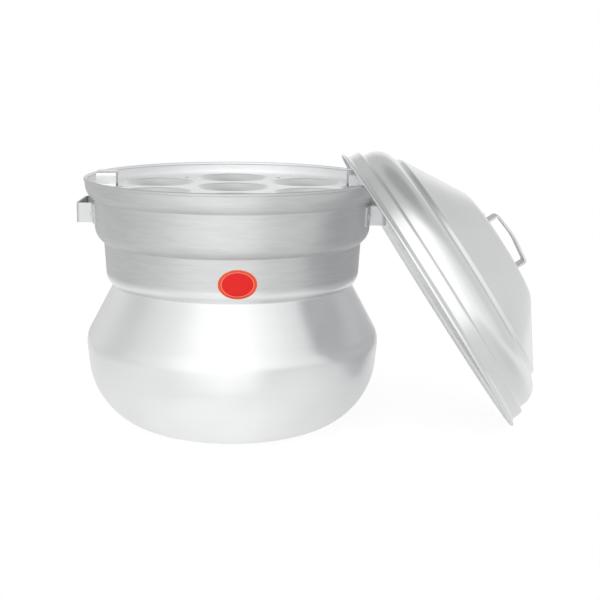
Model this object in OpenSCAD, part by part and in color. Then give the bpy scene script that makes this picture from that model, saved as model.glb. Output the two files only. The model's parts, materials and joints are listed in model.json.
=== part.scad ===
// Stepped idli steamer: a spun aluminium pot with three plate seats, three lift-out
// idli plates with seven cups each, and a domed lid that leans on the rim beside it.
// Millimetres. The origin is the middle of the base on the table, +Z is up, the front is -Y.

/* [Pot] */
// Diameter of the bowl at its widest
belly_d = 305; // [290:1:315]
// Radius that turns the flat base up into the bowl wall
bowl_radius = 78; // [60:1:84]
// Height of the soft edge between bowl and cone
edge_z = 97.5; // [94:0.5:112]
// Rounding of the soft edge
edge_radius = 28; // [8:1:30]
// How much narrower the bowl would be at the table than at its widest
bowl_taper = 20; // [0:1:28]
// Diameter of the neck crease
neck_d = 247; // [242:1:256]
// Height of the neck crease
neck_z = 151.5; // [144:0.5:162]
// Sheet thickness of the pot
pot_sheet = 1.6; // [1.2:0.1:2.2]
// Diameter of the rolled bead on the rim
rim_bead_d = 3.4; // [2.6:0.2:4.4]

/* [Collars] */
// Height from one collar's crease to the next
collar_pitch = 44.5; // [43:0.5:50]
// Height of the upper collar, crease to rim
upper_collar_h = 21.5; // [19:0.5:30]
// Width of the lower plate seat
lower_seat_w = 6.8; // [6:0.2:7.6]
// Width of the middle plate seat
middle_seat_w = 8.6; // [7:0.2:10]
// Width of the upper plate seat
upper_seat_w = 7.3; // [6.4:0.1:9]
// Slope of the plate seats above level, in degrees
seat_slope = 40; // [36:1:46]
// Rounding from a seat up into its collar wall, less on a narrow seat
seat_radius = 19; // [12:1:22]
// Outward slope of the collar walls, in degrees
collar_draft = 3.5; // [1:0.5:5]

/* [Idli plates] */
// Sheet thickness of the plates
plate_sheet = 1.2; // [0.8:0.1:1.6]
// Height of the turned-down edge of a plate
plate_edge_h = 4.5; // [3.6:0.1:6]
// Rounding of the turned-down edge
plate_edge_radius = 2.4; // [2:0.1:3]
// How far a plate's edge stays in from the collar wall
plate_edge_in = 2.4; // [1.6:0.2:3]
// Flat ring left between the cups of the lowest plate and its edge
cup_margin = 5.3; // [5:0.1:9]
// Depth of a cup
cup_depth = 18; // [14:0.5:21]
// Rounding of a cup's lip
cup_lip_radius = 3; // [2:0.2:4]
// Flat web left between two cups of the lowest plate
cup_web = 4; // [3:0.5:6.5]
// Share of a larger plate's extra radius that spreads its cups
cup_spread = 0.4; // [0.3:0.05:0.7]
// Diameter of the steam vents between the cups
vent_d = 5; // [3:0.5:5]
// How far the vents lie outside the circle of cup centres
vent_out = 10; // [6:1:14]
// Diameter of the steam holes in a cup
steam_hole_d = 3.2; // [2:0.2:4]
// Circle of the steam holes in a cup
steam_circle_d = 36; // [24:1:44]
// Number of steam holes on that circle
steam_holes = 6; // [3:1:8]

/* [Strip handles] */
// Width of the strip that every handle is bent from
strip_w = 20; // [16:0.5:21]
// Thickness of the strip
strip_t = 2; // [1.5:0.1:2.5]
// Inner bend radius of the strip
bend_radius = 2; // [1:0.2:3]
// Inside width of a plate handle's loop
plate_loop_w = 24; // [20:1:26]
// Inside height of a plate handle's loop
plate_loop_h = 12.5; // [9:0.5:14]
// Length of a plate handle's foot
plate_foot = 12; // [11:0.5:13]
// How far the lower plate's handles lie in from its edge
plate_handle_in = 12.8; // [12.6:0.1:13.4]
// Share of a larger plate's extra radius that moves its handles out
handle_spread = 0.75; // [0.5:0.05:0.8]
// Inside width of a side handle's loop
side_loop_w = 56; // [44:1:66]
// Reach of a side handle from the collar wall
side_reach = 15; // [12:0.5:22]
// Length of a side handle's foot
side_foot = 15; // [11:0.5:20]
// Height of a side handle's middle above the crease of its collar
side_handle_up = 30.5; // [26:0.5:31]
// Turn of the pair of side handles about the pot, in degrees
side_turn = -4; // [-20:1:20]
// Inside width of the lid handle's loop
lid_loop_w = 56; // [44:1:64]
// Inside height of the lid handle's loop at its corners
lid_loop_h = 11.5; // [9:0.5:16]
// Rise of the lid handle's arched grip at its middle
lid_grip_rise = 3; // [1:0.5:5]
// Length of a lid handle's foot
lid_foot = 12; // [9:0.5:14]

/* [Rivets] */
// Diameter of a rivet's shank
rivet_d = 4; // [3:0.2:4.6]
// Diameter of a rivet's head
rivet_head_d = 7; // [5.6:0.2:7.4]
// Height of a rivet's domed head
rivet_head_h = 1.8; // [1.2:0.1:2.4]
// Thickness of a rivet's flat tail
rivet_tail_h = 0.9; // [0.6:0.1:1.4]
// Play of a shank in its hole
rivet_play = 0.05; // [0.03:0.01:0.1]

/* [Lid] */
// Sheet thickness of the lid
lid_sheet = 1.2; // [0.8:0.1:1.6]
// Diameter of the rolled edge of the lid, outside
lid_d = 336; // [330:1:344]
// Diameter of the bead on that edge
lid_bead_d = 3.2; // [2.6:0.2:4]
// How far the lip flares out past the skirt
lid_lip_w = 4.4; // [3.4:0.2:6]
// Height of the flared lip
lid_lip_h = 4.2; // [3.4:0.2:6]
// Height of the shoulder above the edge
lid_shoulder_h = 15.6; // [13:0.2:18]
// Width of the shoulder
lid_shoulder_w = 5.6; // [4:0.2:7]
// Height of the groove at the top of the bulge
lid_groove_h = 44; // [42:0.5:47]
// How far the groove lies in from the edge
lid_groove_in = 33; // [31:0.5:37]
// Rounding of the bulge
lid_bulge_radius = 23; // [14:1:23]
// Height of the bead between groove and cone
lid_step_h = 4.4; // [3:0.2:6]
// Height of the flat crown
lid_h = 89; // [84:0.5:96]
// Diameter where cone and crown would meet
lid_crown_d = 124; // [112:1:134]
// Rounding between cone and crown
lid_crown_radius = 24; // [10:1:30]
// Height of the lid's upper edge above the rim, which sets how far it leans
lid_over_rim = 20.5; // [15:0.5:26]
// Direction in which the lid leans, about the pot, in degrees
lid_turn = 1; // [-10:1:10]

/* [Label] */
// Width of the blank oval label
label_w = 38; // [24:1:48]
// Height of the blank oval label
label_h = 29; // [18:1:32]
// Thickness of the label
label_t = 0.3; // [0.2:0.05:0.6]
// Height of its middle above the neck crease
label_up = 20.5; // [19:0.5:23]
// Its turn from the front, in degrees
label_turn = 2; // [-30:1:30]

/* [Clearances] */
// Gap between a plate's edge and its seat
seat_gap = 0.3; // [0.2:0.05:0.5]
// Gap between the leaning lid and the rim
lean_gap = 0.3; // [0.2:0.05:0.6]
// Gap behind a rivet's flat tail on a curved wall
tail_gap = 0.08; // [0.06:0.01:0.15]
// Gap behind the label
label_gap = 0.05; // [0.02:0.01:0.1]

/* [Hidden] */
$fn = 96;

SPUN = "#cfd1d3";
BRIGHT = "#dfe0e2";
RIVET = "#b9bcc0";
RED = "#dd1a1c";

// Largest turn of one straight piece of a rounded outline, in degrees
ARC_STEP = 6;
// Rounding of the creases, where only the spinning roller leaves a radius
CREASE_RADIUS = 1.2;
// Straight stretch between a seat's crease and its rounding
CREASE_SPARE = 0.2;
// Rounding of a pressed ridge, over its sheet
RIDGE_RADIUS = 2.4;
// A little more than any wall, for cuts that run right through
THROUGH = 12;
// Cups round the middle cup of a plate
CUPS_ROUND = 6;
// How much the lid's skirt, bulge and step narrow on their way up
SKIRT_TAPER = 1;
BULGE_TAPER = 1.5;
STEP_TAPER = 2;
// Rise of the lid's shoulder, and height of its bulge's corner below the groove
SHOULDER_RISE = 1;
BULGE_DROP = 8;
// Rounding of an arched grip, as a share of its width
GRIP_ROUND = 1.2;
// Length and halvings of the search for the leaning lid's place, and step round the rim
LEAN_SEARCH = 40;
LEAN_HALVINGS = 16;
RIM_STEP = 1.5;

// Outline tools. A path is a list of [x, y], a corner list is a list of [x, y, radius].

function unit(v) = v / norm(v);
function left_of(v) = [-v.y, v.x];
function arc(centre, r, a0, a1) =
    let (n = max(1, ceil(abs(a1 - a0) / ARC_STEP)))
    [for (i = [0 : n]) let (a = a0 + (a1 - a0) * i / n) centre + r * [cos(a), sin(a)]];

// Centre of the rounding at corner p1 of the path p0, p1, p2
function round_centre(p0, p1, p2, r) =
    let (u = unit(p0 - p1), v = unit(p2 - p1), half = acos(u * v) / 2)
    p1 + unit(u + v) * r / sin(half);

function round_corner(p0, p1, p2, r) =
    let (
        u = unit(p0 - p1),
        v = unit(p2 - p1),
        c = round_centre(p0, p1, p2, r),
        reach = r / tan(acos(u * v) / 2),
        s = p1 + u * reach - c,
        e = p1 + v * reach - c,
        a0 = atan2(s.y, s.x),
        sweep = atan2(s.x * e.y - s.y * e.x, s * e)
    )
    arc(c, r, a0, a0 + sweep);

function flat(p) = [p.x, p.y];
function rounded(corners) = [
    for (i = [0 : len(corners) - 1])
        let (r = corners[i][2])
        each r > 0
            ? round_corner(flat(corners[i - 1]), flat(corners[i]), flat(corners[i + 1]), r)
            : [flat(corners[i])]
];

// The path moved sideways by d to its left, with mitred corners
function beside(p, d) = [
    for (i = [0 : len(p) - 1])
        let (
            before = left_of(unit(i == 0 ? p[1] - p[0] : p[i] - p[i - 1])),
            after = left_of(unit(i == len(p) - 1 ? p[i] - p[i - 1] : p[i + 1] - p[i])),
            n = unit(before + after)
        )
        p[i] + n * d / (n * before)
];

function reversed(p) = [for (i = [len(p) - 1 : -1 : 0]) p[i]];
function after_first(p) = [for (i = [1 : len(p) - 1]) p[i]];
function sheet_outline(p, t) = concat(p, reversed(beside(p, t)));

// Pot profile, from the middle of the base to the rim

belly_r = belly_d / 2;
neck_r = neck_d / 2;
pot_h = neck_z + 2 * collar_pitch + upper_collar_h;
seat_w = [lower_seat_w, middle_seat_w, upper_seat_w];
rim_wall_z = pot_h - rim_bead_d / 2;

function crease_z(i) = neck_z + i * collar_pitch;
function foot_z(i) = crease_z(i) + seat_w[i] * tan(seat_slope);
function crease_r(i) = i == 0 ? neck_r : wall_r(i - 1, crease_z(i));
function foot_r(i) = crease_r(i) + seat_w[i];
function wall_r(i, z) = foot_r(i) + (z - foot_z(i)) * tan(collar_draft);
cone_lean = atan2(belly_r - neck_r, neck_z - edge_z);
function crease_reach(i) =
    CREASE_RADIUS * tan((90 - seat_slope + (i == 0 ? cone_lean : -collar_draft)) / 2);
function seat_round(i) =
    let (
        turn = 90 - collar_draft - seat_slope,
        room = seat_w[i] / cos(seat_slope) - crease_reach(i) - CREASE_SPARE
    )
    min(seat_radius, room / tan(turn / 2));
function crease(i) = [crease_r(i), crease_z(i)];
function foot(i) = [foot_r(i), foot_z(i)];
function wall_top(i) = i == 2 ? [wall_r(2, rim_wall_z), rim_wall_z] : crease(i + 1);

function collar_corners(i) = [
    [crease_r(i), crease_z(i), CREASE_RADIUS],
    [foot_r(i), foot_z(i), seat_round(i)]
];
pot_path = rounded(concat(
    [[0, 0, 0], [belly_r - bowl_taper / 2, 0, bowl_radius], [belly_r, edge_z, edge_radius]],
    collar_corners(0), collar_corners(1), collar_corners(2),
    [[wall_top(2).x, wall_top(2).y, 0]]
));
rim_circle_r = wall_top(2).x - pot_sheet / 2;

// Plate places, lowest first

function seat_centre(i) = round_centre(crease(i), foot(i), wall_top(i), seat_round(i));
function plate_r(i) = foot_r(i) - pot_sheet - plate_edge_in;
function seat_height(i) =
    let (c = seat_centre(i), r = seat_round(i) - pot_sheet, x = plate_r(i) - c.x)
    c.y - sqrt(r * r - x * x);
function plate_z(i) = seat_height(i) + seat_gap + plate_edge_h;
function extra_r(i) = plate_r(i) - plate_r(0);
// Three half cups, a web and a margin make the radius of the lowest plate
cup_d = 2 / 3 * (plate_r(0) - cup_web - cup_margin);
function cup_circle(i) = cup_d + cup_web + cup_spread * extra_r(i);
function plate_handle_r(i) = plate_r(0) - plate_handle_in + handle_spread * extra_r(i);
function cup_angle(k) = (k + 0.5) * 360 / CUPS_ROUND;

plate_rivet_y = plate_loop_w / 2 + strip_t + (plate_foot - strip_t) / 2 + bend_radius / 2;

// Side handles sit on the middle collar

side_z = crease_z(1) + side_handle_up;
side_wall_r = wall_r(1, side_z);
side_leg_turn = asin(side_loop_w / 2 / side_wall_r);
side_foot_turn = side_foot / side_wall_r * 180 / PI;
side_rivet_turn = side_leg_turn + (side_foot + strip_t) / 2 / side_wall_r * 180 / PI;

// The lid stands on its edge and leans on the rim

lid_edge_r = (lid_d - lid_bead_d) / 2;
lid_skirt_r = lid_edge_r - lid_lip_w;
lid_lean = acos((pot_h + lid_over_rim - lid_bead_d / 2) / (2 * lid_edge_r));
lid_edge_z = lid_edge_r * cos(lid_lean) + lid_bead_d / 2;
lean_reach = (rim_bead_d + lid_bead_d) / 2 + lean_gap;
lid_axis = [cos(lid_lean), 0, sin(lid_lean)];

function to_lid_edge(p, x) =
    let (
        d = p - [x, 0, lid_edge_z],
        up = d * lid_axis,
        out = norm(d - up * lid_axis) - lid_edge_r
    )
    norm([up, out]);
function rim_point(a) = [rim_circle_r * cos(a), rim_circle_r * sin(a), rim_wall_z];
function lean_distance(x) = min([for (a = [0 : RIM_STEP : 90]) to_lid_edge(rim_point(a), x)]);
// Place at which the two rings would cross, and the nearest clear place outside it
lean_up = (rim_wall_z - lid_edge_z) / cos(lid_lean);
lean_cross = sqrt(rim_circle_r ^ 2 - lid_edge_r ^ 2 + lean_up ^ 2)
    + (rim_wall_z - lid_edge_z) * tan(lid_lean);
function lean_place(low, high, steps) =
    let (middle = (low + high) / 2)
    steps == 0 ? high
    : lean_distance(middle) > lean_reach ? lean_place(low, middle, steps - 1)
    : lean_place(middle, high, steps - 1);
lid_x = lean_place(lean_cross, lean_cross + LEAN_SEARCH, LEAN_HALVINGS);

lid_shoulder_r = lid_skirt_r - SKIRT_TAPER;
lid_bulge_r = lid_shoulder_r - lid_shoulder_w;
lid_groove_r = lid_edge_r - lid_groove_in;
lid_path = rounded([
    [lid_edge_r, 0, 0],
    [lid_skirt_r, lid_lip_h, CREASE_RADIUS],
    [lid_shoulder_r, lid_shoulder_h, RIDGE_RADIUS],
    [lid_bulge_r, lid_shoulder_h + SHOULDER_RISE, CREASE_RADIUS],
    [lid_bulge_r - BULGE_TAPER, lid_groove_h - BULGE_DROP, lid_bulge_radius],
    [lid_groove_r, lid_groove_h, CREASE_RADIUS],
    [lid_groove_r - STEP_TAPER, lid_groove_h + lid_step_h, RIDGE_RADIUS],
    [lid_crown_d / 2, lid_h, lid_crown_radius],
    [0, lid_h, 0]
]);
lid_rivet_x = lid_loop_w / 2 + (lid_foot + strip_t) / 2 + bend_radius / 2;

// Shared shapes

module revolve(outline) {
    rotate_extrude() polygon(outline);
}

// A rivet along +Z: its domed head stands on z = 0 and its tail lies at z = -grip
module rivet(grip) {
    head_r = rivet_head_d / 2;
    dome_r = (head_r ^ 2 + rivet_head_h ^ 2) / (2 * rivet_head_h);
    dome_turn = asin(head_r / dome_r);
    revolve(concat(
        [[0, -grip - rivet_tail_h], [head_r, -grip - rivet_tail_h], [head_r, -grip]],
        [[rivet_d / 2, -grip], [rivet_d / 2, 0], [head_r, 0]],
        arc([0, rivet_head_h - dome_r], dome_r, 90 - dome_turn, 90)
    ));
}

module rivet_hole() {
    cylinder(d = rivet_d + 2 * rivet_play, h = 2 * THROUGH, center = true);
}

// Flat strip bent along a path in the XZ plane, its width along Y
module bent_strip(path, t) {
    rotate([90, 0, 0])
        linear_extrude(strip_w, center = true)
            polygon(sheet_outline(path, t));
}

// Inner face of a loop with feet that turn outward, standing on z = 0
function loop_path(width, height, foot_length, rise) = rounded([
    [-width / 2 - foot_length, 0, 0],
    [-width / 2, 0, bend_radius + strip_t],
    [-width / 2, height + strip_t, bend_radius],
    if (rise > 0) [0, height + strip_t + rise, GRIP_ROUND * width],
    [width / 2, height + strip_t, bend_radius],
    [width / 2, 0, bend_radius + strip_t],
    [width / 2 + foot_length, 0, 0]
]);

// Pot

module at_side_rivets(side) {
    rotate([0, 0, side_turn + (side < 0 ? 180 : 0)])
        for (s = [-1, 1])
            rotate([0, 0, s * side_rivet_turn])
                translate([side_wall_r, 0, side_z])
                    rotate([0, 90 + collar_draft, 0])
                        children();
}

module pot_body() {
    color(SPUN)
        difference() {
            union() {
                revolve(sheet_outline(pot_path, pot_sheet));
                rotate_extrude()
                    translate([rim_circle_r, rim_wall_z])
                        circle(d = rim_bead_d);
            }
            for (side = [-1, 1])
                at_side_rivets(side) rivet_hole();
        }
}

module front_label() {
    skin = beside(rounded([
        [crease_r(0), crease_z(0), 0],
        [foot_r(0), foot_z(0), seat_round(0)],
        [crease_r(1), crease_z(1), 0]
    ]), -label_gap);
    sector = 360 * label_w / (PI * neck_d);
    color(RED)
        rotate([0, 0, label_turn - 90])
            intersection() {
                rotate([0, 0, -sector / 2])
                    rotate_extrude(angle = sector)
                        polygon(sheet_outline(skin, -label_t));
                translate([0, 0, neck_z + label_up])
                    rotate([0, 90, 0])
                        linear_extrude(belly_d)
                            polygon([
                                for (a = [0 : ARC_STEP : 360 - ARC_STEP])
                                    [label_h / 2 * cos(a), label_w / 2 * sin(a)]
                            ]);
            }
}

module side_handle(side) {
    z0 = side_z - strip_w / 2;
    z1 = side_z + strip_w / 2;
    // The legs start halfway into the feet
    leg_start = side_wall_r * cos(side_leg_turn) + strip_t / 2;
    face = side_wall_r + side_reach - strip_t;
    loop = rounded([
        [leg_start, -side_loop_w / 2, 0],
        [face, -side_loop_w / 2, bend_radius],
        [face, side_loop_w / 2, bend_radius],
        [leg_start, side_loop_w / 2, 0]
    ]);
    foot_outline = [
        [wall_r(1, z0), z0],
        [wall_r(1, z0) + strip_t, z0],
        [wall_r(1, z1) + strip_t, z1],
        [wall_r(1, z1), z1]
    ];
    color(BRIGHT)
        difference() {
            rotate([0, 0, side_turn + (side < 0 ? 180 : 0)]) {
                translate([0, 0, z0])
                    linear_extrude(strip_w)
                        polygon(sheet_outline(loop, -strip_t));
                for (s = [0, 1])
                    mirror([0, s, 0])
                        rotate([0, 0, side_leg_turn])
                            rotate_extrude(angle = side_foot_turn)
                                polygon(foot_outline);
            }
            at_side_rivets(side) rivet_hole();
        }
}

module side_rivets(side) {
    lift = strip_t * cos(collar_draft);
    color(RIVET)
        at_side_rivets(side)
            translate([0, 0, lift])
                rivet(lift + pot_sheet + tail_gap);
}

// Idli plates

module at_cups(i) {
    children();
    for (k = [0 : CUPS_ROUND - 1])
        rotate([0, 0, cup_angle(k)])
            translate([cup_circle(i), 0, 0])
                children();
}

// Outline of a cup's dish, moved out by t from its inner face: an arc and a tangent lip
function dish_path(t) =
    let (
        mouth = cup_d / 2,
        dish_r = (mouth ^ 2 + cup_depth ^ 2) / (2 * cup_depth) - cup_lip_radius,
        dish_c = [0, dish_r - cup_depth],
        lip_c = [mouth, -cup_lip_radius],
        turn = atan2(lip_c.y - dish_c.y, lip_c.x)
    )
    concat(
        arc(dish_c, dish_r + t, -90, turn),
        after_first(arc(lip_c, cup_lip_radius - t, turn + 180, 90))
    );

module cup_shell() {
    revolve(concat(dish_path(plate_sheet), [[cup_d / 2, -plate_sheet / 2], [0, -plate_sheet / 2]]));
}

module cup_cavity() {
    revolve(concat(dish_path(0), [[cup_d / 2, plate_sheet], [0, plate_sheet]]));
}

module steam_hole_set() {
    translate([0, 0, -cup_depth]) {
        cylinder(d = steam_hole_d, h = THROUGH, center = true);
        for (k = [0 : steam_holes - 1])
            rotate([0, 0, k * 360 / steam_holes])
                translate([steam_circle_d / 2, 0, 0])
                    cylinder(d = steam_hole_d, h = 2 * THROUGH, center = true);
    }
}

// Vents between the cups. The two beside the handles lie further out, just clear of the strip.
function vent_r(i, k) = k % (CUPS_ROUND / 2) == 0
    ? plate_handle_r(i) - (strip_w + vent_d) / 2 - plate_sheet
    : cup_circle(i) + vent_out;

module vents(i) {
    for (k = [0 : CUPS_ROUND - 1])
        rotate([0, 0, k * 360 / CUPS_ROUND])
            translate([vent_r(i, k), 0, 0])
                cylinder(d = vent_d, h = THROUGH, center = true);
}

module at_plate_rivets(i, sides) {
    for (side = sides, s = [-1, 1])
        translate([side * plate_handle_r(i), s * plate_rivet_y, plate_z(i)])
            children();
}

module idli_plate(i) {
    edge = rounded([
        [0, 0, 0],
        [plate_r(i), 0, plate_edge_radius],
        [plate_r(i), -plate_edge_h, 0]
    ]);
    color(SPUN)
        difference() {
            translate([0, 0, plate_z(i)])
                difference() {
                    union() {
                        revolve(sheet_outline(edge, -plate_sheet));
                        at_cups(i) cup_shell();
                    }
                    at_cups(i) cup_cavity();
                    at_cups(i) steam_hole_set();
                    vents(i);
                }
            at_plate_rivets(i, [-1, 1]) rivet_hole();
        }
}

module plate_handle(i, side) {
    color(BRIGHT)
        difference() {
            translate([side * plate_handle_r(i), 0, plate_z(i)])
                rotate([0, 0, 90])
                    bent_strip(loop_path(plate_loop_w, plate_loop_h, plate_foot, 0), strip_t);
            at_plate_rivets(i, [side]) rivet_hole();
        }
}

module plate_rivets(i) {
    color(RIVET)
        at_plate_rivets(i, [-1, 1])
            translate([0, 0, strip_t])
                rivet(strip_t + plate_sheet);
}

// Lid

module at_lean() {
    rotate([0, 0, lid_turn])
        translate([lid_x, 0, lid_edge_z])
            rotate([0, 90 - lid_lean, 0])
                children();
}

module at_lid_rivets() {
    for (s = [-1, 1])
        translate([s * lid_rivet_x, 0, lid_h])
            children();
}

module lid_shell() {
    color(SPUN)
        at_lean()
            difference() {
                union() {
                    revolve(sheet_outline(lid_path, lid_sheet));
                    rotate_extrude()
                        translate([lid_edge_r, 0])
                            circle(d = lid_bead_d);
                }
                at_lid_rivets() rivet_hole();
            }
}

module lid_handle() {
    color(BRIGHT)
        at_lean()
            difference() {
                translate([0, 0, lid_h])
                    bent_strip(loop_path(lid_loop_w, lid_loop_h, lid_foot, lid_grip_rise), strip_t);
                at_lid_rivets() rivet_hole();
            }
}

module lid_rivets() {
    color(RIVET)
        at_lean()
            at_lid_rivets()
                translate([0, 0, strip_t])
                    rivet(strip_t + lid_sheet);
}

pot_body();
front_label();
side_handle(-1);  // side_handle_left
side_handle(1);  // side_handle_right
side_rivets(-1);  // side_rivets_left
side_rivets(1);  // side_rivets_right
idli_plate(0);  // plate_lower
plate_handle(0, -1);  // lower_handle_left
plate_handle(0, 1);  // lower_handle_right
plate_rivets(0);  // lower_plate_rivets
idli_plate(1);  // plate_middle
plate_handle(1, -1);  // middle_handle_left
plate_handle(1, 1);  // middle_handle_right
plate_rivets(1);  // middle_plate_rivets
idli_plate(2);  // plate_upper
plate_handle(2, -1);  // upper_handle_left
plate_handle(2, 1);  // upper_handle_right
plate_rivets(2);  // upper_plate_rivets
lid_shell();
lid_handle();
lid_rivets();
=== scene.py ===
import json
import math

import bmesh
import bpy
from mathutils import Euler, Matrix, Vector


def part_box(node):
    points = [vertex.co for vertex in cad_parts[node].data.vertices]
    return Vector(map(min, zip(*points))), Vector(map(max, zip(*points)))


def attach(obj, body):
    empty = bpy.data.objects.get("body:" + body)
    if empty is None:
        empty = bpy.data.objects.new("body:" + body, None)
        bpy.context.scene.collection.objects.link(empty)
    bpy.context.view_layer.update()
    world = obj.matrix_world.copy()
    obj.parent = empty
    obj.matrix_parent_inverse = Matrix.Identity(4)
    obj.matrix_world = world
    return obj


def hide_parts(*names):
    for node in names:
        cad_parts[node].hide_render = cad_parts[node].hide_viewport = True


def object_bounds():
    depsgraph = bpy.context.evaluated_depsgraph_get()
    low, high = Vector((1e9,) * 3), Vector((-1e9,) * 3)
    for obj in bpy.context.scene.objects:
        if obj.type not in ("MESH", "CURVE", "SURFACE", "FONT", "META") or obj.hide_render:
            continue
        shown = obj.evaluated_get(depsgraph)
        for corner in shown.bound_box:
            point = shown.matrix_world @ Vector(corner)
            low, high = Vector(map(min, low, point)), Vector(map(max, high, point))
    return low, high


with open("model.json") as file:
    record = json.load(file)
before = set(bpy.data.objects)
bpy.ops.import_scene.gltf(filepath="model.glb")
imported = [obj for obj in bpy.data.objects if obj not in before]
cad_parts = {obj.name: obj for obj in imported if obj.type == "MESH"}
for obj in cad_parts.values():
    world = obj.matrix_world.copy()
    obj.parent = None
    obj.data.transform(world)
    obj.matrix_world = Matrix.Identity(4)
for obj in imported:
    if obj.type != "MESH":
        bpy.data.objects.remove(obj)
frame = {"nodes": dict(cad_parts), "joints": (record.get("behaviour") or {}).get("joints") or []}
cad_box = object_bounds()
nodes = frame["nodes"]

# Sizes in metres, angles in degrees, colours in linear light
# A pair whose name ends in FADE holds the value where something is absent and the one where it is full

RIGHT = Vector((1.0, 0.0, 0.0))
BACK = Vector((0.0, 1.0, 0.0))
UP = Vector((0.0, 0.0, 1.0))
WHITE = (1.0, 1.0, 1.0, 1.0)

# Parts of the names of CAD nodes
LEVELS = ("lower", "middle", "upper")
SIDES = ("left", "right")

# Camera at the photograph's angle
CAMERA_PLACE = (0.001, -1.5, 0.4239)
CAMERA_DOWN = 11.01
CAMERA_RIGHT = 2.65
CAMERA_ROLL = 0.47
SENSOR = 36.0
FOCAL_PIXELS = 1455.7
PHOTO_PIXELS = 600

# Table: its own grey, and the glow that the camera and the metal see on it
TABLE_X = (-0.95, 1.05)
TABLE_Y = (-0.30, 0.62)
TABLE_ALBEDO = 0.22
TABLE_GLOW = 0.86
TABLE_MIRRORED = 0.76
# Round spots of the table that only the metal sees, as painted shade and painted light: painted shadows
# under the lid, at the right front and far to the left, and a painted pool of light in front of the pot.
# Columns: middle, level, inner and outer radius
TABLE_PAINTED_SHADE_AND_LIGHT = (
    ((0.21, 0.0, 0.0), 0.85, 0.05, 0.20),
    ((0.46, -0.20, 0.0), 0.70, 0.06, 0.26),
    ((-0.03, -0.17, 0.0), 1.22, 0.02, 0.16),
    ((-0.95, 0.10, 0.0), 0.78, 0.53, 0.67),
)

# Softbox above and in front
SOFTBOX_PLACE = (-0.2, -2.1, 1.3)
SOFTBOX_SIZE = 1.7
SOFTBOX_LEVEL = 1.0

# Brightness round the room, by turn from the front towards the right
ROOM = (
    (-180, 0.62),
    (-130, 0.85),
    (-100, 0.68),
    (-84, 0.86),
    (-62, 0.95),
    (-28, 1.32),
    (12, 1.32),
    (32, 1.12),
    (66, 0.92),
    (100, 0.74),
    (130, 0.76),
    (180, 1.0),
)
# Upper walls, which come lower down towards the back
UPPER_WALL = 0.62
UPPER_WALL_FADE = (0.68, 0.86)
UPPER_WALL_SLOPE = 0.5
# Dark ceiling, round the direction that it lies in
CEILING = 0.42
CEILING_AIM = Vector((0.1, 0.35, 0.93))
CEILING_FADE = (0.86, 0.96)
# Floor beyond the table at the right
DIM_FLOOR = 0.76
DIM_FLOOR_DOWN_FADE = (-0.12, -0.30)
DIM_FLOOR_RIGHT_FADE = (0.2, 0.5)
# White backdrop behind
BACKDROP_BACK_FADE = (-0.86, -0.97)
BACKDROP_FOOT_FADE = (-0.06, 0.02)
BACKDROP_TOP_FADE = (0.40, 0.18)

# Metal: colours, and roughness where nothing makes it rougher
ALUMINIUM = (0.80, 0.805, 0.81)
# The plates' lighter tint is painted light in the cups
PLATE_PAINTED_LIGHT_ALUMINIUM = (0.88, 0.885, 0.89)
BRIGHT_STRIP = (0.90, 0.905, 0.91)
# A darker tint of the same rolled strip: painted shade on the side handles and the lid handle
PAINTED_SHADE_STRIP = (0.64, 0.645, 0.65)
POT_ROUGH = 0.295
LID_ROUGH = 0.24
PLATE_ROUGH = 0.3
BRIGHT_STRIP_ROUGH = 0.36
DULL_STRIP_ROUGH = 0.46
RIVET_ROUGH = 0.37

# Noise stays near its middle, so this part of its range is spread out
NOISE_FADE = (0.3, 0.7)
NO_DETAILS = 0.0
FEW_DETAILS = 2.0
MORE_DETAILS = 3.0

# Spun sheet: rings of the tool and clouds in the polish, with what they do to tone, gloss and relief
RINGS_PER_METRE = 320.0
RINGS_PER_TURN = 1.2
RING_TONE = 0.005
RING_RELIEF = 0.02
CLOUDS_PER_METRE = 14.0
CLOUD_TONE = 0.02
CLOUD_GLOSS = 0.015
SHEET_DEPTH = 0.00006
# Faces that look away from the axis, by the cosine to the spoke
OUTSIDE_FADE = (-0.1, 0.1)

# Brushed collars of the pot, from this height up
COLLAR_FADE = (0.159, 0.167)
COLLAR_DULL = 0.235
COLLAR_ROUGHER = 0.17
COLLAR_ANISOTROPIC = 0.5
COLLAR_ROTATION = 0.25
STROKES_PER_METRE = 480.0
STROKES_PER_TURN = 6.0
STROKE_TONE = 0.025
STROKE_RELIEF = 0.5

# Insides of the pot and the lid, against their outsides: a lighter tone that is painted light, and more
# roughness
POT_INSIDE_PAINTED_LIGHT = 0.15
POT_INSIDE_ROUGHER = 0.16
LID_INSIDE_PAINTED_LIGHT = 0.18
LID_INSIDE_ROUGHER = 0.40

# Rolled strip: mill lines along it, and smears
LINES_PER_METRE = 1500.0
LINE_TONE = 0.02
LINE_DEPTH = 0.000005
SMEARS_PER_METRE = 70.0
SMEAR_TONE = 0.04
SMEAR_GLOSS = 0.07

# Rivets: dents, grime, and the noise where the metal is clean
DENTS_PER_METRE = 420.0
DENT_DEPTH = 0.00025
GRIME_PER_METRE = 160.0
CLEAN_FADE = (0.35, 0.7)
GRIME_TONE = 0.82
GRIME_GLOSS = 0.09

# Label: colours, and bands as shares of the way from its middle to its edge
LABEL_RED = (0.70, 0.006, 0.010, 1.0)
LABEL_ORANGE = (0.72, 0.10, 0.022, 1.0)
LABEL_RING = (0.85, 0.30, 0.22, 1.0)
LABEL_WORN = (0.85, 0.62, 0.5, 1.0)
RING_INNER_FADE = (0.80, 0.82)
RING_OUTER_FADE = (0.86, 0.84)
BORDER_FADE = (0.885, 0.905)
WORN_FADE = (0.985, 1.0)
WORN_SHARE = 0.5
PRINT_GRAIN_PER_METRE = 900.0
PRINT_GRAIN_SHARE = 0.12
WEAR_PER_METRE = 260.0
WEAR_FADE = (0.3, 0.8)
WEAR_REACH = (-0.01, 0.02)
WEAR_GLOSS = 0.05
WEAR_DEPTH = 0.00003
LABEL_ROUGH = 0.29
LABEL_SPECULAR = 0.2

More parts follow.
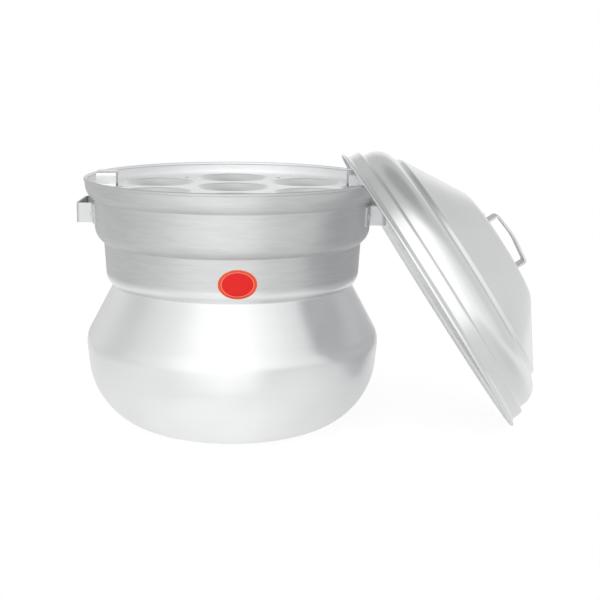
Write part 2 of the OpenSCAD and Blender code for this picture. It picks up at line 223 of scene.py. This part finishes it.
# Meshes: crease angle, welding distance, reach of a seam, level middle of the lid, steps of turned sheets
SMOOTH_ANGLE = 50.0
WELD = 0.000002
SEAM = 0.00002
LID_FLAT = 0.046
RING_STEP = 0.003
TURN_STEPS = 240


def grey(level):
    return (level, level, level, 1.0)


class Nodes:
    """Adds nodes to one tree. Any input takes a socket or a plain value."""

    def __init__(self, tree):
        self.tree = tree

    def feed(self, node, inputs):
        for name, value in inputs.items():
            socket = node.inputs[name]
            if isinstance(value, bpy.types.NodeSocket):
                self.tree.links.new(value, socket)
            else:
                socket.default_value = value

    def add(self, kind, inputs=None, **settings):
        made = self.tree.nodes.new(kind)
        for name, value in settings.items():
            setattr(made, name, value)
        self.feed(made, inputs or {})
        return made

    def math(self, operation, *values):
        made = self.add("ShaderNodeMath", dict(enumerate(values)), operation=operation)
        return made.outputs[0]

    def vector(self, operation, *values):
        made = self.add("ShaderNodeVectorMath", dict(enumerate(values)), operation=operation)
        return made.outputs["Vector"]

    def dot(self, a, b):
        made = self.add("ShaderNodeVectorMath", {0: a, 1: b}, operation="DOT_PRODUCT")
        return made.outputs["Value"]

    def length(self, a):
        made = self.add("ShaderNodeVectorMath", {0: a}, operation="LENGTH")
        return made.outputs["Value"]

    def scaled(self, a, factor):
        made = self.add("ShaderNodeVectorMath", {0: a, "Scale": factor}, operation="SCALE")
        return made.outputs["Vector"]

    def combine(self, x, y, z):
        return self.add("ShaderNodeCombineXYZ", {0: x, 1: y, 2: z}).outputs[0]

    def step(self, value, low, high, at_low=0.0, at_high=1.0):
        made = self.add(
            "ShaderNodeMapRange",
            {0: value, 1: low, 2: high, 3: at_low, 4: at_high},
            interpolation_type="SMOOTHSTEP",
        )
        return made.outputs[0]

    def around(self, noise, middle, reach):
        """A noise spread evenly about a middle value."""
        return self.step(noise, *NOISE_FADE, middle - reach, middle + reach)

    def noise(self, place, scale, detail=FEW_DETAILS, w=None):
        inputs = {"Vector": place, "Scale": scale, "Detail": detail}
        if w is None:
            return self.add("ShaderNodeTexNoise", inputs).outputs["Fac"]
        inputs["W"] = w
        return self.add("ShaderNodeTexNoise", inputs, noise_dimensions="4D").outputs["Fac"]

    def mix(self, share, a, b):
        made = self.add("ShaderNodeMix", {0: share, 6: a, 7: b}, data_type="RGBA")
        return made.outputs[2]

    def ramp(self, share, stops):
        """Grey levels at turns of a full circle, joined smoothly. The first and last stop are its ends."""
        made = self.add("ShaderNodeValToRGB", {0: share})
        made.color_ramp.interpolation = "EASE"
        elements = made.color_ramp.elements
        for turn, _ in stops[1:-1]:
            elements.new(0.5 + turn / 360)
        for element, (_, level) in zip(elements, stops):
            element.color = grey(level)
        return made.outputs[0]

    def bump(self, height, distance):
        made = self.add("ShaderNodeBump", {"Height": height, "Distance": distance})
        return made.outputs["Normal"]

    def rays(self):
        """1 for a ray from the camera, and 1 for one from metal or glass."""
        paths = self.add("ShaderNodeLightPath").outputs
        mirrored = self.math("ADD", paths["Is Glossy Ray"], paths["Is Transmission Ray"])
        return paths["Is Camera Ray"], mirrored


class Surface(Nodes):
    """A new material and its nodes. at is the place of a point in the row's frame, at rest."""

    def __init__(self, name):
        self.material = bpy.data.materials.new(name)
        self.material.use_nodes = True
        super().__init__(self.material.node_tree)
        self.shader = self.tree.nodes["Principled BSDF"]
        self.coordinates = self.add("ShaderNodeTexCoord").outputs
        self.at = self.coordinates["Object"]

    def shade(self, inputs):
        self.feed(self.shader, inputs)

    def metal(self, tint, tone, rough, normal):
        """Bare metal of a tint that a tone about 1 makes lighter or darker."""
        colour = self.scaled(Vector(tint), tone)
        self.shade({"Base Color": colour, "Roughness": rough, "Normal": normal, "Metallic": 1.0})
        return self.material


class Sheet(Surface):
    """Sheet spun about the z axis of its place. at, height and spoke are seen from that place."""

    def __init__(self, name, place):
        super().__init__(name)
        self.turn = place.to_euler()
        self.at = self.from_place(self.at, place.translation)
        self.height = self.dot(self.at, UP)
        arm = self.vector("MULTIPLY", self.at, RIGHT + BACK)
        self.radius = self.length(arm)
        self.spoke = self.vector("NORMALIZE", arm)
        self.cosine = self.dot(self.spoke, RIGHT)
        self.sine = self.dot(self.spoke, BACK)

    def from_place(self, vector, origin):
        inputs = {"Vector": vector, "Location": origin, "Rotation": self.turn}
        return self.add("ShaderNodeMapping", inputs, vector_type="TEXTURE").outputs[0]

    def round_noise(self, per_metre, per_turn, detail):
        """Noise drawn out round the axis."""
        coordinates = self.combine(
            self.math("MULTIPLY", self.radius, per_metre),
            self.math("MULTIPLY", self.height, per_metre),
            self.math("MULTIPLY", self.cosine, per_turn),
        )
        return self.noise(coordinates, 1.0, detail, self.math("MULTIPLY", self.sine, per_turn))

    def outside(self):
        """1 on faces that look away from the axis, 0 on those that look towards it."""
        normal = self.from_place(self.coordinates["Normal"], Vector())
        return self.step(self.dot(normal, self.spoke), *OUTSIDE_FADE)

    def on_inside(self, outside, value):
        return self.step(outside, 0.0, 1.0, value, 0.0)


# Materials


def spun_aluminium(name, rough, tint, zones=None, place=Matrix.Identity(4)):
    """Spun sheet with fine rings and a satin gloss with faint clouds.

    zones is a function that changes the tone of some parts of the sheet, with painted light that makes the
    insides lighter, and makes some parts rougher or brushed.
    """
    n = Sheet(name, place)
    rings = n.round_noise(RINGS_PER_METRE, RINGS_PER_TURN, NO_DETAILS)
    cloud = n.noise(n.at, CLOUDS_PER_METRE)
    tone = n.math("ADD", n.around(rings, 1.0, RING_TONE), n.around(cloud, 0.0, CLOUD_TONE))
    gloss = n.around(cloud, rough, CLOUD_GLOSS)
    relief = n.math("MULTIPLY", rings, RING_RELIEF)
    if zones is not None:
        tone_and_painted_light, rougher, relief = zones(n, relief)
        tone = n.math("ADD", tone, tone_and_painted_light)
        gloss = n.math("ADD", gloss, rougher)
    return n.metal(tint, tone, gloss, n.bump(relief, SHEET_DEPTH))


def pot_zones(n, relief):
    """Brushed collars that smear what they mirror across the strokes, and a satin inside drawn lighter
    with painted light.
    """
    outside = n.outside()
    collar = n.math("MULTIPLY", outside, n.step(n.height, *COLLAR_FADE))
    n.shade(
        {
            "Anisotropic": n.math("MULTIPLY", collar, COLLAR_ANISOTROPIC),
            "Anisotropic Rotation": COLLAR_ROTATION,
            "Tangent": n.vector("CROSS_PRODUCT", UP, n.spoke),
        }
    )
    strokes = n.round_noise(STROKES_PER_METRE, STROKES_PER_TURN, FEW_DETAILS)
    marks = n.math("MULTIPLY", collar, n.around(strokes, -COLLAR_DULL, STROKE_TONE))
    # Painted light: the inside of the pot is drawn lighter
    tone_and_painted_light = n.math("ADD", marks, n.on_inside(outside, POT_INSIDE_PAINTED_LIGHT))
    rougher = n.math("MULTIPLY", collar, COLLAR_ROUGHER)
    rougher = n.math("ADD", rougher, n.on_inside(outside, POT_INSIDE_ROUGHER))
    brushed = n.math("MULTIPLY", strokes, n.math("MULTIPLY", collar, STROKE_RELIEF))
    return tone_and_painted_light, rougher, n.math("ADD", relief, brushed)


def lid_zones(n, relief):
    """A satin inside, drawn lighter with painted light."""
    outside = n.outside()
    # Painted light: the inside of the lid is drawn lighter
    return n.on_inside(outside, LID_INSIDE_PAINTED_LIGHT), n.on_inside(outside, LID_INSIDE_ROUGHER), relief


def rolled_strip(name, width_axis, tint, rough):
    """Rolled strip: fine mill lines along it and a few dull smears."""
    n = Surface(name)
    lines = n.noise(n.scaled(width_axis, n.dot(n.at, width_axis)), LINES_PER_METRE)
    smears = n.noise(n.at, SMEARS_PER_METRE, MORE_DETAILS)
    tone = n.math("ADD", n.around(lines, 1.0, LINE_TONE), n.around(smears, 0.0, SMEAR_TONE))
    return n.metal(tint, tone, n.around(smears, rough, SMEAR_GLOSS), n.bump(lines, LINE_DEPTH))


def rivet_metal(name):
    """Soft rivet heads, dulled and dented by the hammer."""
    n = Surface(name)
    dents = n.noise(n.at, DENTS_PER_METRE)
    grime = n.noise(n.at, GRIME_PER_METRE, MORE_DETAILS)
    tone = n.step(grime, *CLEAN_FADE, GRIME_TONE, 1.0)
    return n.metal(ALUMINIUM, tone, n.around(grime, RIVET_ROUGH, GRIME_GLOSS), n.bump(dents, DENT_DEPTH))


def printed_label(name, low, high):
    """Glossy oval sticker: a bare red ground, a thin pale ring, an orange border and a worn edge."""
    n = Surface(name)
    half = (high - low) / 2
    arm = n.vector("SUBTRACT", n.at, (low + high) / 2)
    arm = n.vector("MULTIPLY", arm, Vector((1 / half.x, 0.0, 1 / half.z)))
    out = n.length(arm)
    print_grain = n.noise(n.at, PRINT_GRAIN_PER_METRE)
    wear = n.noise(n.at, WEAR_PER_METRE, MORE_DETAILS)
    ring = n.math("MULTIPLY", n.step(out, *RING_INNER_FADE), n.step(out, *RING_OUTER_FADE))
    worn_out = n.math("ADD", out, n.step(wear, *WEAR_FADE, *WEAR_REACH))
    colour = n.mix(n.step(print_grain, *NOISE_FADE, 0.0, PRINT_GRAIN_SHARE), LABEL_RED, LABEL_ORANGE)
    colour = n.mix(ring, colour, LABEL_RING)
    colour = n.mix(n.step(out, *BORDER_FADE), colour, LABEL_ORANGE)
    colour = n.mix(n.step(worn_out, *WORN_FADE, 0.0, WORN_SHARE), colour, LABEL_WORN)
    n.shade(
        {
            "Base Color": colour,
            "Roughness": n.around(wear, LABEL_ROUGH, WEAR_GLOSS),
            "Normal": n.bump(wear, WEAR_DEPTH),
            "Specular IOR Level": LABEL_SPECULAR,
        }
    )
    return n.material


def table_white(name):
    """White table top, with spots of painted shade and painted light that only the metal sees."""
    n = Surface(name)
    camera, mirrored = n.rays()
    level = TABLE_MIRRORED
    # Painted shade and painted light on the table, seen only in the metal's reflections
    for middle, painted_level, inner, outer in TABLE_PAINTED_SHADE_AND_LIGHT:
        away = n.length(n.vector("SUBTRACT", n.at, Vector(middle)))
        level = n.math("MULTIPLY", n.step(away, inner, outer, painted_level, 1.0), level)
    to_camera = n.math("MULTIPLY", camera, TABLE_GLOW)
    to_metal = n.math("MULTIPLY", mirrored, level)
    n.shade(
        {
            "Base Color": grey(TABLE_ALBEDO),
            "Roughness": 1.0,
            "Specular IOR Level": 0.0,
            "Emission Color": WHITE,
            "Emission Strength": n.math("MAXIMUM", to_camera, to_metal),
        }
    )
    return n.material


# Pieces


def smooth_shading():
    """Node group that shades a CAD node smooth across its seams, apart from sharp edges."""
    group = bpy.data.node_groups.new("smooth_shading", "GeometryNodeTree")
    group.interface.new_socket("Geometry", in_out="INPUT", socket_type="NodeSocketGeometry")
    group.interface.new_socket("Geometry", in_out="OUTPUT", socket_type="NodeSocketGeometry")
    n = Nodes(group)
    start = n.add("NodeGroupInput").outputs[0]
    joined = n.add("GeometryNodeMergeByDistance", {"Geometry": start, "Distance": WELD}).outputs[0]
    plain = n.add("GeometryNodeRemoveAttribute", {"Geometry": joined, "Name": "custom_normal"}).outputs[0]
    faces = n.add("GeometryNodeSetShadeSmooth", {"Geometry": plain, "Shade Smooth": True}, domain="FACE")
    angle = n.add("GeometryNodeInputMeshEdgeAngle").outputs["Unsigned Angle"]
    sharp = n.add(
        "FunctionNodeCompare",
        {0: angle, 1: math.radians(SMOOTH_ANGLE)},
        data_type="FLOAT",
        operation="GREATER_THAN",
    ).outputs[0]
    edges = n.add(
        "GeometryNodeSetShadeSmooth",
        {"Geometry": faces.outputs[0], "Selection": sharp, "Shade Smooth": False},
        domain="EDGE",
    )
    n.add("NodeGroupOutput", {0: edges.outputs[0]})
    return group


smooth = smooth_shading()


def dress(material, *pieces):
    for piece in pieces:
        piece.data.materials.clear()
        piece.data.materials.append(material)
        piece.modifiers.new("smooth_shading", "NODES").node_group = smooth


def lid_frame():
    """The lid's place: z along its axis, y along the width of its handle, origin in its middle."""
    axis = Vector(next(j["axis"] for j in frame["joints"] if j["name"] == "lid_away")).normalized()
    across = axis.cross(axis.cross(UP)).normalized()
    turn = Matrix((across, axis.cross(across), axis)).transposed()
    points = [turn.inverted() @ vertex.co for vertex in nodes["lid_shell"].data.vertices]
    ends = [Vector([end(point[k] for point in points) for k in range(3)]) for end in (min, max)]
    return Matrix.Translation(turn @ (sum(ends, Vector()) / 2)) @ turn.to_4x4()


def sheet_outline(node, place, flat):
    """A spun sheet's outline in its place, joined to the axis, or None if it comes in pieces.

    It is read where the CAD faces have their seams, in the half of the xz plane where x is
    positive. Inside the radius flat the sheet is drawn level, without its rivet holes.
    """
    sheet = bmesh.new()
    sheet.from_mesh(nodes[node].data)
    sheet.transform(place.inverted())
    bmesh.ops.remove_doubles(sheet, verts=sheet.verts, dist=WELD)
    away = [v for v in sheet.verts if abs(v.co.y) > SEAM or v.co.x < flat]
    bmesh.ops.delete(sheet, geom=away, context="VERTS")
    loose = [v for v in sheet.verts if not v.link_edges]
    bmesh.ops.delete(sheet, geom=loose, context="VERTS")
    ends = [v for v in sheet.verts if len(v.link_edges) == 1]
    if len(ends) != 2:
        sheet.free()
        return None
    for end in ends:
        sheet.edges.new((end, sheet.verts.new((0.0, 0.0, end.co.z))))
    return sheet


def turned(name, node, body, place, flat=SEAM):
    """A spun sheet's own outline, drawn again about its axis in fine even steps.

    place is the sheet's frame, with the axis along z. An outline in pieces leaves the CAD node as it is.
    """
    sheet = sheet_outline(node, place, flat)
    if sheet is None:
        return nodes[node]
    for edge in list(sheet.edges):
        cuts = int(edge.calc_length() / RING_STEP)
        if cuts:
            bmesh.ops.subdivide_edges(sheet, edges=[edge], cuts=cuts)
    outline = [*sheet.verts, *sheet.edges]
    bmesh.ops.spin(sheet, geom=outline, axis=UP, angle=2 * math.pi, steps=TURN_STEPS, use_merge=True)
    bmesh.ops.remove_doubles(sheet, verts=sheet.verts, dist=WELD)
    bmesh.ops.recalc_face_normals(sheet, faces=sheet.faces)
    sheet.transform(place)
    mesh = bpy.data.meshes.new(name)
    sheet.to_mesh(mesh)
    sheet.free()

    piece = bpy.data.objects.new(name, mesh)
    bpy.context.scene.collection.objects.link(piece)
    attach(piece, body)
    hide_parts(node)
    return piece


lid_place = lid_frame()
dress(
    spun_aluminium("pot_aluminium", POT_ROUGH, ALUMINIUM, pot_zones),
    turned("turned_pot", "pot_body", "pot", Matrix.Identity(4)),
)
dress(
    spun_aluminium("lid_aluminium", LID_ROUGH, ALUMINIUM, lid_zones, lid_place),
    turned("turned_lid", "lid_shell", "lid", lid_place, LID_FLAT),
)
# The plates take the lighter tint: painted light in the cups
dress(
    spun_aluminium("plate_aluminium", PLATE_ROUGH, PLATE_PAINTED_LIGHT_ALUMINIUM),
    *(nodes[f"plate_{level}"] for level in LEVELS),
)
dress(
    rolled_strip("plate_strip", RIGHT, BRIGHT_STRIP, BRIGHT_STRIP_ROUGH),
    *(nodes[f"{level}_handle_{side}"] for level in LEVELS for side in SIDES),
)
# The side handles and the lid handle take the darker strip tint: painted shade
dress(
    rolled_strip("side_strip", UP, PAINTED_SHADE_STRIP, DULL_STRIP_ROUGH),
    *(nodes[f"side_handle_{side}"] for side in SIDES),
)
dress(
    rolled_strip("lid_strip", lid_place.col[1].to_3d(), PAINTED_SHADE_STRIP, DULL_STRIP_ROUGH),
    nodes["lid_handle"],
)
dress(
    rivet_metal("rivet_aluminium"),
    nodes["lid_rivets"],
    *(nodes[f"side_rivets_{side}"] for side in SIDES),
    *(nodes[f"{level}_plate_rivets"] for level in LEVELS),
)
dress(printed_label("label_print", *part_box("front_label")), nodes["front_label"])


# Table, light and camera


def make_table():
    mesh = bpy.data.meshes.new("table_top")
    left, right = TABLE_X
    front, back = TABLE_Y
    corners = [(left, front, 0.0), (right, front, 0.0), (right, back, 0.0), (left, back, 0.0)]
    mesh.from_pydata(corners, [], [(0, 1, 2, 3)])
    mesh.materials.append(table_white("table_white"))
    table = bpy.data.objects.new("table_top", mesh)
    bpy.context.scene.collection.objects.link(table)


def make_room():
    """White backdrop behind, a bright front and duller sides, as in a small photo studio."""
    world = bpy.data.worlds.new("studio")
    bpy.context.scene.world = world
    world.use_nodes = True
    n = Nodes(world.node_tree)
    ray = n.add("ShaderNodeTexCoord").outputs["Generated"]
    to_right = n.dot(ray, RIGHT)
    to_front = n.dot(ray, -BACK)
    height = n.dot(ray, UP)

    turn = n.math("ARCTAN2", to_right, to_front)
    room = n.ramp(n.math("ADD", n.math("DIVIDE", turn, 2 * math.pi), 0.5), ROOM)
    raised = n.math("SUBTRACT", height, n.math("MULTIPLY", to_front, UPPER_WALL_SLOPE))
    room = n.mix(n.step(raised, *UPPER_WALL_FADE), room, grey(UPPER_WALL))
    room = n.mix(n.step(n.dot(ray, CEILING_AIM), *CEILING_FADE), room, grey(CEILING))
    floor = n.step(height, *DIM_FLOOR_DOWN_FADE)
    floor = n.math("MULTIPLY", floor, n.step(to_right, *DIM_FLOOR_RIGHT_FADE))
    room = n.mix(floor, room, grey(DIM_FLOOR))

    backdrop = n.step(to_front, *BACKDROP_BACK_FADE)
    backdrop = n.math("MULTIPLY", backdrop, n.step(height, *BACKDROP_FOOT_FADE))
    backdrop = n.math("MULTIPLY", backdrop, n.step(height, *BACKDROP_TOP_FADE))
    camera, mirrored = n.rays()
    white = n.math("ADD", camera, n.math("MULTIPLY", mirrored, backdrop))
    colour = n.mix(n.math("MINIMUM", white, 1.0), room, WHITE)
    n.feed(world.node_tree.nodes["Background"], {"Color": colour})


def make_softbox():
    lamp = bpy.data.lights.new("softbox", "AREA")
    lamp.size = SOFTBOX_SIZE
    lamp.energy = SOFTBOX_LEVEL * math.pi * SOFTBOX_SIZE**2
    box = bpy.data.objects.new("softbox", lamp)
    box.location = SOFTBOX_PLACE
    low, high = cad_box
    aim = (low + high) / 2 - box.location
    box.rotation_euler = aim.to_track_quat("-Z", "Y").to_euler()
    box.visible_glossy = False
    bpy.context.scene.collection.objects.link(box)


def make_camera():
    data = bpy.data.cameras.new("camera")
    data.sensor_width = SENSOR
    data.lens = SENSOR * FOCAL_PIXELS / PHOTO_PIXELS
    camera = bpy.data.objects.new("camera", data)
    turn = Euler((math.radians(90 - CAMERA_DOWN), 0.0, math.radians(-CAMERA_RIGHT))).to_matrix()
    turn = turn @ Matrix.Rotation(math.radians(CAMERA_ROLL), 3, "Z")
    camera.matrix_world = Matrix.Translation(CAMERA_PLACE) @ turn.to_4x4()
    bpy.context.scene.collection.objects.link(camera)
    bpy.context.scene.camera = camera


make_table()
make_room()
make_softbox()
make_camera()
bpy.context.scene.view_settings.view_transform = "Standard"
